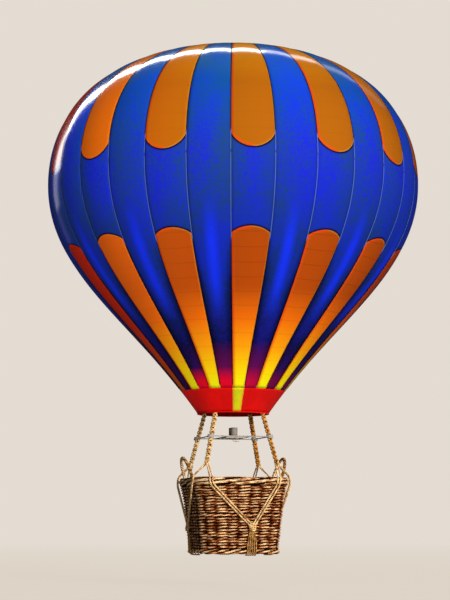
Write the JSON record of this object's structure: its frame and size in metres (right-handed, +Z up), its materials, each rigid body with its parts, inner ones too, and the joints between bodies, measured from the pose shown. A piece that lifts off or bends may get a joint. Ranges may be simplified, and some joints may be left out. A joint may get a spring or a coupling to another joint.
{
  "type": "hot air balloon",
  "caption": "Hot air balloon: pear-shaped fabric envelope with a sliding crown valve, gimballed twin burner and square wicker basket slung on knotted ropes.",
  "frame": {"origin": "on the vertical axis, at the centre of the envelope's widest ring, where the air carries it", "axes": "+Z up along the envelope's axis, -Y out of the basket's front face, +X to the right of a viewer at the front"},
  "size_m": [15.9934, 15.9934, 21.9506],
  "materials": {
    "envelope_fabric": "coated ripstop nylon, blue with orange to yellow petals",
    "skirt_fabric": "red flame-resistant skirt cloth",
    "panel_fabric": "yellow-green flame-resistant cloth",
    "load_tape": "woven polyester load tape",
    "rope": "knotted jute rope",
    "wicker": "woven willow cane, varnished, brown",
    "floor_board": "plywood",
    "bare_metal": "brushed stainless steel",
    "burner_brass": "dull brass",
    "cylinder_paint": "grey enamel"
  },
  "bodies": {
    "balloon": {"crown_ring_panels": "envelope_fabric", "crown_upper_panels": "envelope_fabric", "crown_lower_panels": "envelope_fabric", "shoulder_upper_panels": "envelope_fabric", "shoulder_lower_panels": "envelope_fabric", "belt_panels": "envelope_fabric", "flank_panels": "envelope_fabric", "throat_panels": "envelope_fabric", "skirt": "skirt_fabric", "skirt_front_panel": "panel_fabric", "crown_tapes": "load_tape", "crown_ring": "bare_metal", "mouth_ring": "bare_metal", "rope_front_left": "rope", "rope_front_right": "rope", "rope_back_left": "rope", "rope_back_right": "rope", "net_front": "rope", "net_right": "rope", "net_back": "rope", "net_left": "rope", "basket_wall": "wicker", "rim_border": "wicker", "base_border": "wicker", "handle_left": "wicker", "handle_right": "wicker", "basket_floor": "floor_board", "burner_frame": "bare_metal", "cylinder_front_left": "cylinder_paint", "cylinder_front_right": "cylinder_paint", "cylinder_back_left": "cylinder_paint", "cylinder_back_right": "cylinder_paint"},
    "valve": {"parachute_valve": "envelope_fabric"},
    "gimbal": {"gimbal_ring": "bare_metal"},
    "burner": {"burner_body": "burner_brass", "burner_can_front": "bare_metal", "burner_can_back": "bare_metal"}
  },
  "joints": [
    {"name": "valve_slide", "type": "slide", "parent": "balloon", "child": "valve", "axis": [0, 0, -1], "range_m": [0, 1.2], "stiffness_N_per_m": 300, "springref_m": -0.6},
    {"name": "gimbal_pitch", "type": "hinge", "parent": "balloon", "child": "gimbal", "pos_m": [0, 0, -10.9], "axis": [1, 0, 0], "range_deg": [-12, 12]},
    {"name": "gimbal_roll", "type": "hinge", "parent": "gimbal", "child": "burner", "pos_m": [0, 0, -10.9], "axis": [0, 1, 0], "range_deg": [-12, 12]}
  ]
}
